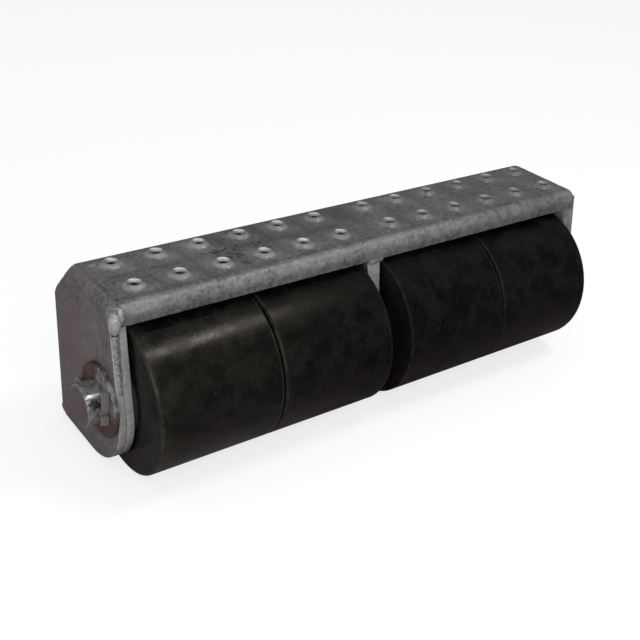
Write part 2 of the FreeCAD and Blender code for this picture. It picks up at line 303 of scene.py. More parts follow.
def buildSpecks():
    # scattered small spots: the middle of some cells of a Voronoi pattern, bent by noise
    group, inside, outside = newGroup("specks", {
        "Place": None, "Size": 8.0, "Share": 0.3, "Reach": 0.25}, "Mask")
    scale = perMetre(group, inside["Size"])
    noise = addNode(group, "TexNoise", {"Vector": inside["Place"], "Scale": product(group, scale, 2.5)})
    way = vectorStep(group, "SUBTRACT", noise.outputs[1], (0.5, 0.5, 0.5))
    push = vectorStep(group, "MULTIPLY", way, calculate(group, "DIVIDE", 0.5, scale))
    pushed = vectorStep(group, "ADD", inside["Place"], push)
    cells = addNode(group, "TexVoronoi", {"Vector": pushed, "Scale": scale})
    cellNumber = addNode(group, "SeparateColor", {0: cells.outputs["Color"]}).outputs[0]
    chosen = calculate(group, "LESS_THAN", cellNumber, inside["Share"])
    edge = inside["Reach"], product(group, inside["Reach"], 0.5)
    near = ramp(group, cells.outputs["Distance"], edge, soft=True)
    group.links.new(product(group, near, chosen), outside["Mask"])
    return group


def buildPatch():
    # one place on the object: an ellipsoid round a centre, with an uneven rim
    group, inside, outside = newGroup("patch", {
        "Place": None, "Centre": None, "Reach": None, "Ragged": 0.4, "Grain": 3.0}, "Mask")
    arm = vectorStep(group, "SUBTRACT", inside["Place"], inside["Centre"])
    distance = vectorStep(group, "LENGTH", vectorStep(group, "DIVIDE", arm, inside["Reach"]))
    noise = addNode(group, "TexNoise", {"Vector": inside["Place"], "Scale": perMetre(group, inside["Grain"])})
    ragged = product(group, calculate(group, "SUBTRACT", noise.outputs[0], 0.5), inside["Ragged"])
    mask = ramp(group, calculate(group, "ADD", distance, ragged), (1.0, 0.6), soft=True)
    group.links.new(mask, outside["Mask"])
    return group


def buildGrain():
    # a rough skin: coarse and fine noise added, as a height in metres
    group, inside, outside = newGroup("grain", {"Place": None, "Size": 3.0, "Depth": 0.0002}, "Height")
    scale = perMetre(group, inside["Size"])
    coarse = addNode(group, "TexNoise", {"Vector": inside["Place"], "Scale": scale, "Detail": 4.0})
    fine = addNode(group, "TexNoise", {"Vector": inside["Place"], "Scale": product(group, scale, 5.0)})
    both = sloped(group, fine.outputs[0], 0.3, coarse.outputs[0])
    group.links.new(product(group, both, inside["Depth"]), outside["Height"])
    return group


blotches = buildBlotches()
specks = buildSpecks()
patch = buildPatch()
grain = buildGrain()
print("shader groups built")


def startMaterial(name, metallic, specular):
    # a new material with its node tree, its Principled BSDF and its Object coordinates
    material = bpy.data.materials.new(name)
    material.use_nodes = True
    tree = material.node_tree
    shader = tree.nodes["Principled BSDF"]
    shader.inputs["Metallic"].default_value = metallic
    shader.inputs["Specular IOR Level"].default_value = specular
    place = addNode(tree, "TexCoord").outputs["Object"]
    return material, tree, shader, place


def finishMaterial(tree, shader, colour, roughness, height):
    # links the finish to the Principled BSDF; the height goes there as a bump
    tree.links.new(colour, shader.inputs["Base Color"])
    tree.links.new(roughness, shader.inputs["Roughness"])
    bump = addNode(tree, "Bump", {"Height": height, "Strength": 1.0, "Distance": 1.0})
    tree.links.new(bump.outputs[0], shader.inputs["Normal"])


def tintShares(tree):
    # the piece's tint as two shares: how far it is above 0, and how far below
    tint = addNode(tree, "Attribute", attribute_name="tint").outputs["Fac"]
    return calculate(tree, "MAXIMUM", tint, 0.0), calculate(tree, "MAXIMUM", product(tree, tint, -1.0), 0.0)


def grey(value, warm=0.0):
    # a linear grey; warm moves it from blue towards red
    return (value * (1 + warm), value, value * (1 - warm), 1)


# marks of the zinc bath and of use, in millimetres: dark drips and pale spots near the step's left end
stepMarks = [
    {"centre": (-219.0, -64.1, 82.5), "reach": (2.2, 4.2, 6.0), "tone": grey(0.035), "depth": -0.0004},
    {"centre": (-205.5, -70.3, 82.5), "reach": (1.6, 3.6, 6.0), "tone": grey(0.030), "depth": -0.0004},
    {"centre": (-213.2, -93.0, 82.5), "reach": (2.0, 3.0, 6.0), "tone": grey(0.05), "depth": -0.0004},
    {"centre": (-207.2, -38.9, 82.5), "reach": (3.4, 3.0, 6.0), "tone": grey(0.24), "depth": 0.0003},
    {"centre": (-200.2, -37.3, 82.5), "reach": (1.8, 2.6, 6.0), "tone": grey(0.045), "depth": -0.0004},
]
# a painted highlight: a bright streak along the bar beside the pin, and the rougher zinc below it
barHighlightAndMarks = [
    {"centre": (-235.5, -94.2, 13.7), "reach": (7.5, 2.2, 1.7), "tone": grey(0.85), "depth": 0.0003,
     "ragged": 0.7},
    {"centre": (-235.0, -98.2, 8.4), "reach": (5.5, 3.0, 3.8), "tone": grey(0.055), "depth": -0.0004,
     "ragged": 2.6},
]
# small dark specks round the third and the fourth pair of holes
speckArea = {"centre": (-100, -61, 82.5), "reach": (33, 32, 10), "ragged": 0.8, "grain": 8.0,
             "tone": grey(0.016), "spots": {"size": 4.4, "share": 0.7, "reach": 0.56}}
# a brownish film on the step, left of its middle and towards the back
filmArea = {"centre": (-45, -40, 82.5), "reach": (85, 34, 12), "ragged": 1.2, "grain": 22.0,
            "tone": (0.047, 0.041, 0.035, 1), "share": 0.5}
# in metres: a painted highlight on the step's front bend, weaker on the lip and towards the right end
paintedBendHighlight = {"edges": (-0.0935, -0.1005), "tone": grey(0.350), "share": 0.70, "lip": (0.071, 0.077),
            "onLip": 0.35, "fade": (0.02, 0.33), "faded": 0.45, "mottled": (0.8, 0.4)}
# in metres: a reddish tone on the plates towards the back
redCorner = {"edges": (-0.085, -0.015), "tone": (0.150, 0.086, 0.090, 1), "share": 0.8}
# cloud, fleck and fine are sizes of mottling in millimetres, and skin is the depth of the roughness in
# metres;
# rim is the tone that a tint above 0 lays on: a painted highlight on the step's burrs and the plates' front
# rims, the bright parts of the welds, and the bar's end faces
zincLook = {
    "step": {"dark": grey(0.050, 0.02), "pale": grey(0.172, 0.03), "rim": grey(0.72), "cloud": 30,
             "fleck": 7.0, "fine": 3.2, "skin": 0.00040, "rough": (0.34, 0.60), "metal": 0.3, "pits": 0.6,
             "marks": stepMarks},
    "plate": {"dark": (0.100, 0.083, 0.082, 1), "pale": (0.232, 0.208, 0.206, 1), "rim": grey(0.47, 0.01),
              "cloud": 34, "fleck": 9.0, "fine": 3.4, "skin": 0.00008, "rough": (0.42, 0.62), "metal": 0.25,
              "pits": 0.15, "marks": []},
    "weld": {"dark": grey(0.058, 0.02), "pale": grey(0.185, 0.02), "rim": grey(0.52), "cloud": 30,
             "fleck": 6.0, "fine": 3.0, "skin": 0.0003, "rough": (0.30, 0.52), "metal": 0.3, "pits": 0.5,
             "marks": []},
    "bar": {"dark": grey(0.150, 0.02), "pale": grey(0.33), "rim": (0.126, 0.063, 0.063, 1), "cloud": 14,
            "fleck": 6.0, "fine": 3.0, "skin": 0.00010, "rough": (0.16, 0.34), "metal": 0.5, "pits": 0.3,
            "marks": barHighlightAndMarks},
}
# what all zinc has in common; the shares say how much each size of mottling counts
zincPattern = {
    "levels": {"low": 0.38, "high": 0.62}, "cloudShare": 0.30, "fleckShare": 0.32, "fineShare": 0.38,
    "crowds": {"size": 40.0, "low": 0.45, "high": 0.62}, "pitShare": (0.4, 0.2),
    "pitSpots": {"size": 5.0, "reach": 0.24}, "pitTone": grey(0.030), "pitDepth": -0.0004,
    "brightSpots": {"size": 4.0, "share": 0.22, "reach": 0.26},
    "brightShare": 0.45, "brightTone": grey(0.30), "paintedShadeTone": grey(0.020), "skinSize": 3.0,
    "rimBreakup": (0.3, 0.7),
}


def markMask(tree, place, mark):
    # where a mark lies on the piece
    centre, reach = ([value * mm for value in mark[key]] for key in ("centre", "reach"))
    return useGroup(tree, patch, place, centre=centre, reach=reach, ragged=mark.get("ragged", 0.6),
                    grain=mark.get("grain", 3.0))


def addStepWearAndHighlight(tree, place, colour, mottling):
    # on the step: the painted highlight on the front bend, the brownish film and the dark specks
    axes = addNode(tree, "SeparateXYZ", {0: place}).outputs
    bend = ramp(tree, axes["Y"], paintedBendHighlight["edges"], soft=True)
    aboveLip = ramp(tree, axes["Z"], paintedBendHighlight["lip"], (paintedBendHighlight["onLip"], 1.0))
    faded = ramp(tree, axes["X"], paintedBendHighlight["fade"], (1.0, paintedBendHighlight["faded"]))
    glow = product(tree, bend, paintedBendHighlight["share"], aboveLip, faded,
                   sloped(tree, mottling, *paintedBendHighlight["mottled"]))
    colour = mixColour(tree, glow, colour, paintedBendHighlight["tone"])
    film = product(tree, markMask(tree, place, filmArea), filmArea["share"])
    colour = mixColour(tree, film, colour, filmArea["tone"])
    spots = useGroup(tree, specks, place, **speckArea["spots"])
    return mixColour(tree, product(tree, spots, markMask(tree, place, speckArea)), colour, speckArea["tone"])


def addRedCorner(tree, place, colour, clouds):
    # on all other zinc: a reddish tone towards the back
    depth = addNode(tree, "SeparateXYZ", {0: place}).outputs["Y"]
    red = product(tree, ramp(tree, depth, redCorner["edges"], soft=True), redCorner["share"], clouds)
    return mixColour(tree, red, colour, redCorner["tone"])


def buildZinc(kind):
    # Hot-dip zinc: three sizes of mottling between a dark and a pale grey, dark pits, bright spots and a
    # rough skin. A tint above 0 lays on the rim tone, which is a painted highlight on burrs and plate rims,
    # and one below 0 lays on a painted shade, as in the holes.
    look, pattern = zincLook[kind], zincPattern
    material, tree, shader, place = startMaterial(kind + "Zinc", look["metal"], 0.5)
    clouds, flecks, fine = (useGroup(tree, blotches, place, size=look[key], **pattern["levels"])
                            for key in ("cloud", "fleck", "fine"))
    mottling = product(tree, clouds, pattern["cloudShare"])
    mottling = sloped(tree, flecks, pattern["fleckShare"], mottling)
    mottling = sloped(tree, fine, pattern["fineShare"], mottling)
    colour = mixColour(tree, mottling, look["dark"], look["pale"])
    crowds = useGroup(tree, blotches, place, **pattern["crowds"])
    pitShare = sloped(tree, crowds, *pattern["pitShare"])
    pits = useGroup(tree, specks, place, share=pitShare, **pattern["pitSpots"])
    colour = mixColour(tree, product(tree, pits, look["pits"]), colour, pattern["pitTone"])
    bright = useGroup(tree, specks, place, **pattern["brightSpots"])
    colour = mixColour(tree, product(tree, bright, pattern["brightShare"]), colour, pattern["brightTone"])
    height = useGroup(tree, grain, place, size=pattern["skinSize"], depth=look["skin"])
    height = sloped(tree, pits, pattern["pitDepth"] * look["pits"], height)
    if kind == "step":
        colour = addStepWearAndHighlight(tree, place, colour, mottling)
    else:
        colour = addRedCorner(tree, place, colour, clouds)
    for mark in look["marks"]:
        mask = markMask(tree, place, mark)
        colour = mixColour(tree, mask, colour, mark["tone"])
        height = sloped(tree, mask, mark["depth"], height)
    rim, paintedShade = tintShares(tree)
    rim = product(tree, rim, sloped(tree, fine, *pattern["rimBreakup"]))
    colour = mixColour(tree, rim, colour, look["rim"])
    colour = mixColour(tree, paintedShade, colour, pattern["paintedShadeTone"])
    finishMaterial(tree, shader, colour, ramp(tree, flecks, (0.0, 1.0), look["rough"]), height)
    return material


# sizes are in millimetres and places in metres; polish and shine are what the left rollers have beyond the
# others. The pale dust colour also paints a highlight on the rims and light on the other rollers' end faces,
# and the left rollers' end faces get painted shade
rubberLook = {
    "dark": (0.0016, 0.0016, 0.0014, 1), "pale": (0.0078, 0.0078, 0.0068, 1),
    "red": (0.0220, 0.0082, 0.0080, 1), "dustAndLight": (0.070, 0.069, 0.061, 1), "gleam": (1.0, 0.90, 0.76, 1),
    "rough": (0.43, 0.53), "specular": 0.07,
    "polishPlace": (-0.03, -0.15), "polish": 0.22, "shine": 0.13, "redLevels": (0.005, -0.04),
    "filmPlace": (-0.190, -0.203), "film": (0.13, 0.03), "rimHighlight": (0.16, 0.18), "faceLight": (-0.09, 0.09),
    "faceShade": 0.4, "scuffShare": 0.11, "dotShare": 0.22, "rimBreakup": (0.6, 0.4), "stretch": (1.0, 0.5, 0.5),
    "clouds": {"size": 16, "detail": 6.0, "low": 0.38, "high": 0.64},
    "stains": {"size": 30, "detail": 4.0, "low": 0.36, "high": 0.56},
    "scuffs": {"size": 2.6, "detail": 6.0, "low": 0.52, "high": 0.72},
    "dots": {"size": 6.0, "share": 0.2, "reach": 0.16},
    "worn": {"size": 9.0, "detail": 5.0, "low": 0.42, "high": 0.6},
    "skin": {"size": 3.0, "depth": 0.00006},
}


def buildRubber():
    # Black rubber: worn clouds, brownish low down, grey dust dots and scuffs that run round the tread. A
    # tint above 0 is a rim with a painted highlight and one below 0 an end face, with painted shade on the
    # left rollers and painted light on the others. The left rollers are polished, and the first one has a
    # film of dust beside its left rim.
    look = rubberLook
    material, tree, shader, place = startMaterial("blackRubber", 0.0, look["specular"])
    shader.inputs["Specular Tint"].default_value = look["gleam"]
    axes = addNode(tree, "SeparateXYZ", {0: place}).outputs
    left = ramp(tree, axes["X"], look["polishPlace"])
    clouds, stains, worn = (useGroup(tree, blotches, place, **look[key])
                            for key in ("clouds", "stains", "worn"))
    colour = mixColour(tree, clouds, look["dark"], look["pale"])
    low = ramp(tree, axes["Z"], look["redLevels"])
    colour = mixColour(tree, product(tree, low, stains), colour, look["red"])
    stretched = addNode(tree, "Mapping", {"Vector": place, "Scale": look["stretch"]}).outputs[0]
    scuffs = product(tree, useGroup(tree, blotches, stretched, **look["scuffs"]), look["scuffShare"])
    dots = product(tree, useGroup(tree, specks, place, **look["dots"]), look["dotShare"])
    film = product(tree, ramp(tree, axes["X"], look["filmPlace"]), sloped(tree, worn, *look["film"]))
    rim, face = tintShares(tree)
    rim = product(tree, rim, sloped(tree, worn, *look["rimBreakup"]), sloped(tree, left, *look["rimHighlight"]))
    paintedFaceLight = product(tree, face, sloped(tree, left, *look["faceLight"]))
    # scuffs, dots and film are dust; the rim share is a painted highlight and the last share painted light
    for share in (scuffs, dots, film, rim, paintedFaceLight):
        colour = mixColour(tree, share, colour, look["dustAndLight"])
    # painted shade on the end faces of the left-hand rollers
    shade = product(tree, face, left, look["faceShade"])
    colour = mixColour(tree, shade, colour, look["dark"])
    height = useGroup(tree, grain, place, **look["skin"])
    roughness = sloped(tree, left, -look["polish"], ramp(tree, clouds, (0.0, 1.0), look["rough"]))
    shine = sloped(tree, left, look["shine"], look["specular"])
    shine = product(tree, shine, calculate(tree, "SUBTRACT", 1.0, shade))
    tree.links.new(shine, shader.inputs["Specular IOR Level"])
    finishMaterial(tree, shader, colour, roughness, height)
    return material


# the bare sector is where the way from the washer's centre agrees with zincWay, give or take the wander
washerLook = {
    "primer": (0.120, 0.056, 0.057, 1), "primerDark": (0.078, 0.040, 0.041, 1), "primerRough": 0.6,
    "zinc": (0.30, 0.305, 0.29, 1), "zincDark": (0.10, 0.102, 0.095, 1), "zincRough": 0.32,
    "zincWay": (0.0, -0.766, 0.643), "zincEdges": (0.77, 0.97), "wanderShare": 0.35,
    "wander": {"size": 7.0, "low": 0.2, "high": 0.8}, "clouds": {"size": 6.0},
    "mottles": {"size": 5.0, "low": 0.36, "high": 0.62}, "skin": {"size": 2.5, "depth": 0.0003},
}


def buildWasherFinish(centre):
    # red primer, and bare mottled zinc on the sector that faces forward and up
    look = washerLook
    material, tree, shader, place = startMaterial("washerPrimer", 0.3, 0.5)
    arm = vectorStep(tree, "SUBTRACT", place, (0, centre[0], centre[1]))
    way = vectorStep(tree, "NORMALIZE", vectorStep(tree, "MULTIPLY", arm, (0, 1000, 1000)))
    toward = vectorStep(tree, "DOT_PRODUCT", way, look["zincWay"])
    wander, clouds, mottles = (useGroup(tree, blotches, place, **look[key])
                               for key in ("wander", "clouds", "mottles"))
    bare = ramp(tree, sloped(tree, wander, look["wanderShare"], toward), look["zincEdges"])
    primer = mixColour(tree, clouds, look["primerDark"], look["primer"])
    zinc = mixColour(tree, mottles, look["zincDark"], look["zinc"])
    height = useGroup(tree, grain, place, **look["skin"])
    roughness = ramp(tree, bare, (0.0, 1.0), (look["primerRough"], look["zincRough"]))
    finishMaterial(tree, shader, mixColour(tree, bare, primer, zinc), roughness, height)
    return material


# the clouds in all three of them are alike
plainPattern = {"cloudSize": 10, "cloudShare": 0.35, "roughSpread": 0.2,
                "skin": {"size": 2.0, "depth": 0.00005}}
plainLook = {
    "bushSteel": {"colour": (0.20, 0.19, 0.18, 1), "cloud": grey(0.05), "metal": 0.9, "rough": 0.35},
    "greyNylon": {"colour": (0.013, 0.0125, 0.0115, 1), "cloud": grey(0.008), "metal": 0.0, "rough": 0.6},
    "pinGrey": {"colour": (0.250, 0.205, 0.203, 1), "cloud": grey(0.07), "metal": 0.2, "rough": 0.36},
}


def buildPlain(name):
    # turned steel, moulded nylon or dull zinc: one tone with soft clouds and a fine skin
    look, pattern = plainLook[name], plainPattern
    material, tree, shader, place = startMaterial(name, look["metal"], 0.5)
    clouds = useGroup(tree, blotches, place, size=pattern["cloudSize"])
    colour = mixColour(tree, product(tree, clouds, pattern["cloudShare"]), look["colour"], look["cloud"])
    roughness = ramp(tree, clouds, (0.0, 1.0), (look["rough"], look["rough"] + pattern["roughSpread"]))
    finishMaterial(tree, shader, colour, roughness, useGroup(tree, grain, place, **pattern["skin"]))
    return material


axleLow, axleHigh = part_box("axle")
axleCentre = ((axleLow.y + axleHigh.y) / 2, (axleLow.z + axleHigh.z) / 2)
stepZinc, plateZinc, weldZinc, barZinc = (buildZinc(kind) for kind in zincLook)
blackRubber = buildRubber()
washerPrimer = buildWasherFinish(axleCentre)
bushSteel, greyNylon, pinGrey = (buildPlain(name) for name in plainLook)
print("materials built")


# the folded sheet, in millimetres; its reach comes from the frame. Cells are the steps of the grid round a
# hole
sheet = {"thickness": 6.0, "bend": 10.0, "lip": 15.5, "chamferDepth": 29.0, "cutEdge": 1.0, "endCells": 2,
         "middleCells": 5}
burr = {"leftMargin": 28.5, "rightMargin": 23.5, "middleGap": 48.5, "columns": 6, "rows": (23.8, 59.8),
        "cells": 16,
        "outside": [(9.4, 0.0), (8.5, 0.22), (7.5, 0.85), (6.7, 1.65), (6.1, 2.45), (5.6, 3.0), (5.15, 3.2)],
        "inside": [(4.85, 3.05), (4.5, 2.5), (4.2, 1.7), (4.02, 0.8), (4.0, -0.6), (4.0, -2.2)],
        "below": [(4.0, -4.6), (4.3, -5.5), (5.2, -6.0)], "uneven": 0.22, "dip": 0.09, "seed": 40}
# The burrs get painted light: a painted highlight on the hole's far wall and rim, painted shade down the
# hole and a little painted light on the near foot. far is the way that the camera looks over the step, and
# x the places between which this painted light grows weaker; wallRise, the rise of the painted shade and
# hole are heights over the step
burrLook = {"rimRadius": 5.3, "far": (0.61, 0.79), "litShade": 0.16, "lit": 1.15, "foot": 0.14, "slope": 1.28,
            "litFoot": 0.8, "fade": 0.55, "x": (-60, 100), "litFrom": (-0.1, 0.8), "litPower": 1.4,
            "wallRise": (-0.4, 0.6), "paintedShadeRise": (0.2, -1.0), "hole": -0.4}
# patch is how far the rings round a hole reach, in radii, and patchAcross widens it along X to whole cells
boltHole = {"radius": 9.0, "spacingX": 320.0, "spacingZ": 65.0, "chamfer": 0.6, "cells": 12,
            "betweenCells": 8, "patch": 1.8, "patchAcross": 1.4}

sheetLow, sheetHigh = (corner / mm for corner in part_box("folded_housing"))
leftReach = -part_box("left_outer_end_plate")[0].x / mm
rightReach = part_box("right_outer_end_plate")[1].x / mm
endShift = (rightReach - leftReach) * mm
sheetFront = sheetLow.y
sheetBottom = sheetLow.z
burrHeight = burr["outside"][-1][1]
stepTop = sheetHigh.z - burrHeight
lipEdge = stepTop - sheet["lip"]
slopeEnd = stepTop - sheet["chamferDepth"]
chamferStart = -sheet["chamferDepth"]
bendShift = sheet["thickness"] * math.tan(math.radians(22.5))


def levels(stops, counts):
    # positions between the stops, with its own count of equal steps in each interval
    runs = [np.linspace(a, b, n, endpoint=False) for a, b, n in zip(stops, stops[1:], counts)]
    return np.concatenate(runs + [[stops[-1]]])


def burrRings(angle, seed):
    # radius and height of each ring of a burr at each angle; the rim wanders a little, the foot and the
    # hole don't
    rings = np.vstack([smoothCurve(burr["outside"], 2), smoothCurve(burr["inside"], 2), burr["below"]])
    share = np.clip(rings[:, 1] / burrHeight, 0, 1)[:, None] ** 1.5
    wander = lumps(np.column_stack([np.cos(angle), np.sin(angle)]), 2.4, seed)[None, :]
    radius = rings[:, :1] + burr["uneven"] * share * wander
    height = rings[:, 1:] * (1 - burr["dip"] * share * (1 + wander) / 2)
    return radius, height


def boltRings(angle, seed):
    # a drilled hole with eased rims, alike at every angle; only burrs use the seed
    radius, ease, depth = boltHole["radius"], boltHole["chamfer"], sheet["thickness"]
    rings = np.array([(radius + ease, 0), (radius, -ease), (radius, ease - depth), (radius + ease, -depth)])
    return rings[:, :1] + 0 * angle, rings[:, 1:] + 0 * angle


def holedPanel(across, along, holes, makeRings, put):
    # A flat wall with two faces: plain cells between the levels, and round each hole a patch of rings that
    # runs from the patch's rim on the outer face, through the hole and on to the same rim on the inner
    # face.
    plain = np.ones((len(across) - 1, len(along) - 1), bool)
    parts = []
    for number, (middle, (i0, i1), (j0, j1)) in enumerate(holes):
        plain[i0:i1, j0:j1] = False
        rim = np.vstack([
            np.column_stack([across[i0:i1], np.full(i1 - i0, along[j0])]),
            np.column_stack([np.full(j1 - j0, across[i1]), along[j0:j1]]),
            np.column_stack([across[i1:i0:-1], np.full(i1 - i0, along[j1])]),
            np.column_stack([np.full(j1 - j0, across[i0]), along[j1:j0:-1]])])
        arm = rim - middle
        angle = np.arctan2(arm[:, 1], arm[:, 0])
        radius, height = makeRings(angle, burr["seed"] + number)
        edge = np.zeros((1, len(rim)))
        u = np.vstack([rim[:, 0], middle[0] + radius * np.cos(angle), rim[:, 0]])
        v = np.vstack([rim[:, 1], middle[1] + radius * np.sin(angle), rim[:, 1]])
        w = np.vstack([edge, height, edge - sheet["thickness"]])
        parts.append((put(u, v, w), gridFaces(len(u), len(rim), closeColumns=True)))
    u, v = np.meshgrid(across, along, indexing="ij")
    faces = gridFaces(len(across), len(along)).reshape(len(across) - 1, len(along) - 1, 4)[plain]
    for depth in (0, -sheet["thickness"]):
        parts.append((put(u, v, depth + 0 * u), faces))
    return parts


def holeColumns():
    # X of each column of holes, in two groups, and the pitch between them
    count = burr["columns"]
    span = leftReach + rightReach - burr["leftMargin"] - burr["rightMargin"] - burr["middleGap"]
    pitch = span / (2 * count - 2)
    left = burr["leftMargin"] - leftReach + pitch * np.arange(count)
    right = (rightReach - burr["rightMargin"] - pitch * np.arange(count))[::-1]
    return left, right, pitch


def innerBends(radius):
    # the two bends of the sheet's inner line at the back, as (y, z, radius)
    thick = sheet["thickness"]
    return [(chamferStart - bendShift, stepTop - thick, radius), (-thick, slopeEnd - bendShift, radius)]


def sheetPart():
    # one sheet folded to lip, step, slope and back wall; bends are arcs, carried along X
    thick, bend, ease = sheet["thickness"], sheet["bend"], sheet["cutEdge"]
    front, top, bottom = sheetFront, stepTop, sheetBottom
    stops = roundedStops([
        (front, lipEdge, ease), (front, top, bend), (chamferStart, top, bend), (0, slopeEnd, bend),
        (0, bottom, ease), (-thick, bottom, ease), *innerBends(bend - thick)[::-1],
        (front + thick, top - thick, bend - thick), (front + thick, lipEdge, ease)], 8)
    leftColumns, rightColumns, pitch = holeColumns()
    count, cells, endCells = burr["columns"], burr["cells"], sheet["endCells"]
    across = levels(
        np.concatenate([[sheetLow.x], leftColumns - pitch / 2, leftColumns[-1:] + pitch / 2,
                        rightColumns - pitch / 2, [sheetHigh.x]]),
        [endCells] + [cells] * count + [sheet["middleCells"]] + [cells] * count)
    rowY = [front + row for row in burr["rows"]]
    stepLevels = levels([stops[1][-1][0], sum(rowY) / 2, stops[2][0][0]], [cells, cells])
    groups = (endCells, leftColumns), (endCells + cells * count + sheet["middleCells"], rightColumns)
    holes = [(np.array([x, y]), (start + cells * number, start + cells * (number + 1)),
              (cells * row, cells * (row + 1)))
             for start, columns in groups for number, x in enumerate(columns) for row, y in enumerate(rowY)]
    parts = holedPanel(across, stepLevels, holes, burrRings,
                       lambda u, v, w: np.stack([u, v, top + w], axis=-1))
    halfX, halfZ = boltHole["spacingX"] / 2, boltHole["spacingZ"] / 2
    reach = boltHole["patch"] * boltHole["radius"]
    widened = boltHole["patchAcross"] * reach
    cells, between = boltHole["cells"], boltHole["betweenCells"]
    wallLevels = levels([stops[4][0][1], -halfZ - reach, reach - halfZ, halfZ - reach, stops[3][-1][1]],
                        [endCells, cells, between, cells])
    rows = (-halfZ, endCells), (halfZ, endCells + cells + between)
    holes = [(np.array([x, z]), np.searchsorted(across, [x - widened, x + widened]), (start, start + cells))
             for x in (-halfX, halfX) for z, start in rows]
    parts += holedPanel(across, wallLevels, holes, boltRings,
                        lambda u, v, w: np.stack([u, w, v], axis=-1))
    for strip in (stops[8:] + stops[:2], stops[2:4], stops[4:6], stops[6:8]):
        line = np.vstack(strip)
        x, y = np.meshgrid(across, line[:, 0], indexing="ij")
        z = np.broadcast_to(line[:, 1], x.shape)
        parts.append((np.stack([x, y, z], axis=-1), gridFaces(*x.shape)))
    stepLine = np.column_stack([stepLevels, 0 * stepLevels + top])
    wallLine = np.column_stack([0 * wallLevels, wallLevels])[::-1]
    outer = np.vstack([stops[0], stops[1], stepLine, stops[2], stops[3], wallLine, stops[4]])
    inner = np.vstack([stops[9][::-1], stops[8][::-1], stepLine - [0, thick], stops[7][::-1],
                       stops[6][::-1], wallLine - [thick, 0], stops[5][::-1]])
    for x in (sheetLow.x, sheetHigh.x):
        cap = np.stack([outer, inner])
        points = np.concatenate([np.full(cap.shape[:2] + (1,), x), cap], axis=-1)
        parts.append((points, gridFaces(2, len(outer))))
    points, faces = joined(parts)
    return points * mm, faces


def burrTint(points):
    # Painted light on the burrs: a painted highlight on the hole's far wall and rim, painted shade on the
    # wall below them, and a little painted light on the near foot.
    leftColumns, rightColumns, _ = holeColumns()
    middle = np.array([(x, sheetFront + row) for x in (*leftColumns, *rightColumns) for row in burr["rows"]])
    away = np.abs(points[:, None, :2] - middle[None]).max(axis=2)
    arm = points[:, :2] - middle[away.argmin(axis=1)]
    radius = np.linalg.norm(arm, axis=1)
    depth = points[:, 2] - stepTop
    toward = arm @ burrLook["far"] / np.maximum(radius, 0.001)
    lit = rise(toward, *burrLook["litFrom"]) ** burrLook["litPower"]
    wall = burrLook["litShade"] * (1 - lit) + burrLook["lit"] * lit * rise(depth, *burrLook["wallRise"])
    paintedShade = -rise(depth, *burrLook["paintedShadeRise"])
    slope = np.clip(depth / burrHeight, 0, 1)
    foot = burrLook["foot"] + burrLook["slope"] * slope * (1 - slope)
    foot *= (radius < burr["outside"][0][0] + 0.1) * (1 - burrLook["litFoot"] * lit)
    duller = 1 - burrLook["fade"] * rise(points[:, 0], *burrLook["x"])
    onWall = radius < burrLook["rimRadius"]
    return np.where(onWall & (depth < burrLook["hole"]), paintedShade, np.where(onWall, wall, foot) * duller)


sheetSurface = sheetPart()
housing = makePiece("foldedHousingZinc", sheetSurface, stepZinc, "frame",
                    ["folded_housing"], tint=burrTint(sheetSurface[0] / mm))
print("housing built:", len(housing.data.polygons), "faces")


# the plates under the sheet, in millimetres; pale and lit are the levels between which the front rim gets a
# painted highlight, less so on the right, and the right inner plate gets painted light on the rollers'
# side
plate = {"noseReach": 13.5, "frontSetback": 3.0, "noseRadius": 49.0, "heelRadius": 8.0, "relief": 0.5,
         "edge": 0.9, "boreClearance": 0.1, "step": 2.2, "pale": (-62.0, -42.0), "rightPale": 0.4,
         "lit": (25.0, 55.0), "litShare": 0.8}
axleRadius = (axleHigh.z - axleLow.z) / 2 / mm
axleY, axleZ = (value / mm for value in axleCentre)
frontEdge = sheetFront + plate["frontSetback"]
frontLean = (plate["frontSetback"] + plate["noseReach"]) / (lipEdge - sheetBottom)


def plateCorners(notched):
    # the plate follows the inside of the sheet, then leans forward below the lip to a round nose
    thick, front, top = sheet["thickness"], sheetFront, stepTop
    inner = sheet["bend"] - thick + plate["relief"]
    corners = innerBends(inner) + [(-thick, sheetBottom, plate["heelRadius"]),
                                   (front - plate["noseReach"], sheetBottom, plate["noseRadius"])]
    if notched:
        return corners + [(frontEdge, lipEdge, 0), (front + thick, lipEdge, 0),
                          (front + thick, top - thick, inner)]
    return corners + [(frontEdge + frontLean * (sheet["lip"] - thick), top - thick, 0)]


